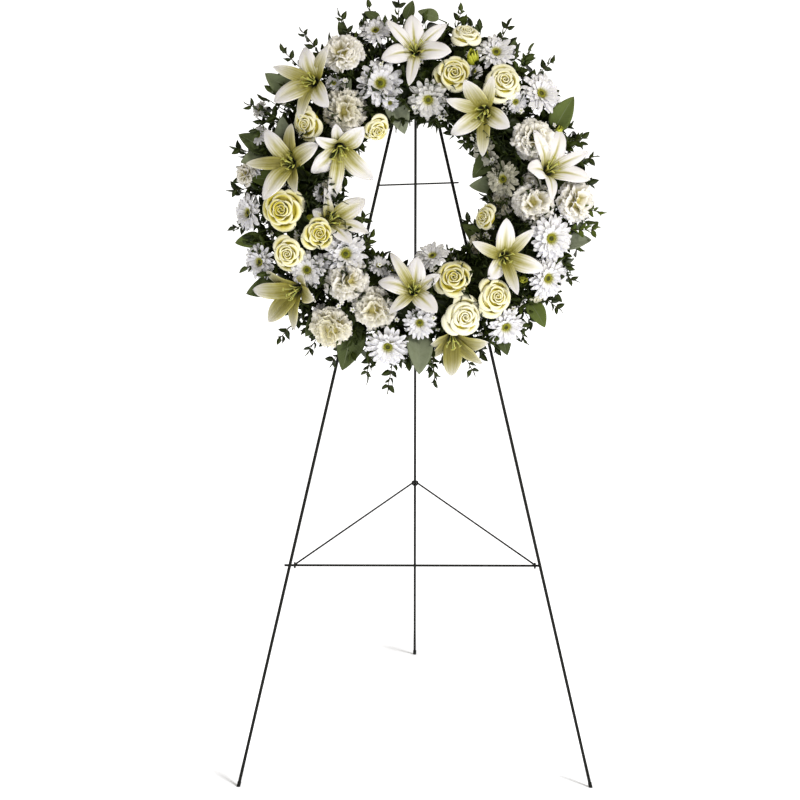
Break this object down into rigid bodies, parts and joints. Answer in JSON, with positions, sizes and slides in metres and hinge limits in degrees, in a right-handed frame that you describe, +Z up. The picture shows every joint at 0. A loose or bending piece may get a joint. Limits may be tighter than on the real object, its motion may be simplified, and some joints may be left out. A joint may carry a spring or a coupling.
{
  "type": "funeral wreath on a wire easel",
  "caption": "Round funeral wreath of white lilies, roses, carnations and daisy mums on a wet foam ring, hung on a folding three-legged wire easel.",
  "frame": {"origin": "on the floor, below the middle of the box round the wreath and its spread easel", "axes": "+Z up, the wreath faces -Y, +X to the right of someone who faces the wreath"},
  "size_m": [0.6416, 0.7013, 1.3608],
  "materials": {
    "easel_wire": "satin",
    "tray_plastic": "satin",
    "wet_foam": "matte",
    "florist_wire": "satin",
    "lily_petals": "matte",
    "rose_petals": "matte",
    "carnation_petals": "matte",
    "mum_petals": "matte",
    "buds": "matte",
    "foliage": "satin"
  },
  "bodies": {
    "front_frame": {"front_leg_left": "easel_wire", "front_leg_right": "easel_wire", "hinge_pin": "easel_wire", "lower_crossbar": "easel_wire", "upper_crossbar": "easel_wire", "wreath_hook": "easel_wire", "foam_tray": "tray_plastic", "foam_ring": "wet_foam", "hanger_wire": "florist_wire", "lily_1": "lily_petals", "lily_2": "lily_petals", "lily_3": "lily_petals", "lily_4": "lily_petals", "lily_5": "lily_petals", "lily_6": "lily_petals", "lily_7": "lily_petals", "lily_8": "lily_petals", "lily_9": "lily_petals", "lily_10": "lily_petals", "lily_11": "lily_petals", "rose_1": "rose_petals", "rose_2": "rose_petals", "rose_3": "rose_petals", "rose_4": "rose_petals", "rose_5": "rose_petals", "rose_6": "rose_petals", "rose_7": "rose_petals", "rose_8": "rose_petals", "rose_9": "rose_petals", "carnation_1": "carnation_petals", "carnation_2": "carnation_petals", "carnation_3": "carnation_petals", "carnation_4": "carnation_petals", "carnation_5": "carnation_petals", "carnation_6": "carnation_petals", "carnation_7": "carnation_petals", "carnation_8": "carnation_petals", "mum_1": "mum_petals", "mum_2": "mum_petals", "mum_3": "mum_petals", "mum_4": "mum_petals", "mum_5": "mum_petals", "mum_6": "mum_petals", "mum_7": "mum_petals", "mum_8": "mum_petals", "mum_9": "mum_petals", "bud_1": "buds", "bud_2": "buds", "leaf_1": "foliage", "leaf_2": "foliage", "leaf_3": "foliage", "leaf_4": "foliage", "leaf_5": "foliage", "leaf_6": "foliage"},
    "back_leg": {"back_leg": "easel_wire", "brace_keeper": "easel_wire"},
    "brace": {"brace": "easel_wire"}
  },
  "joints": [
    {"name": "back_leg_fold", "type": "hinge", "parent": "front_frame", "child": "back_leg", "pos_m": [0, -0.0691, 1.3074], "axis": [-1, 0, 0], "range_deg": [0, 28.8]},
    {"name": "brace_fold", "type": "hinge", "parent": "front_frame", "child": "brace", "pos_m": [0, -0.25906, 0.3882], "axis": [1, 0, 0], "range_deg": [0, 74.2]}
  ],
  "couplings": [
    {"joint": "brace_fold", "follows": "back_leg_fold", "ratio": 2.5726}
  ]
}
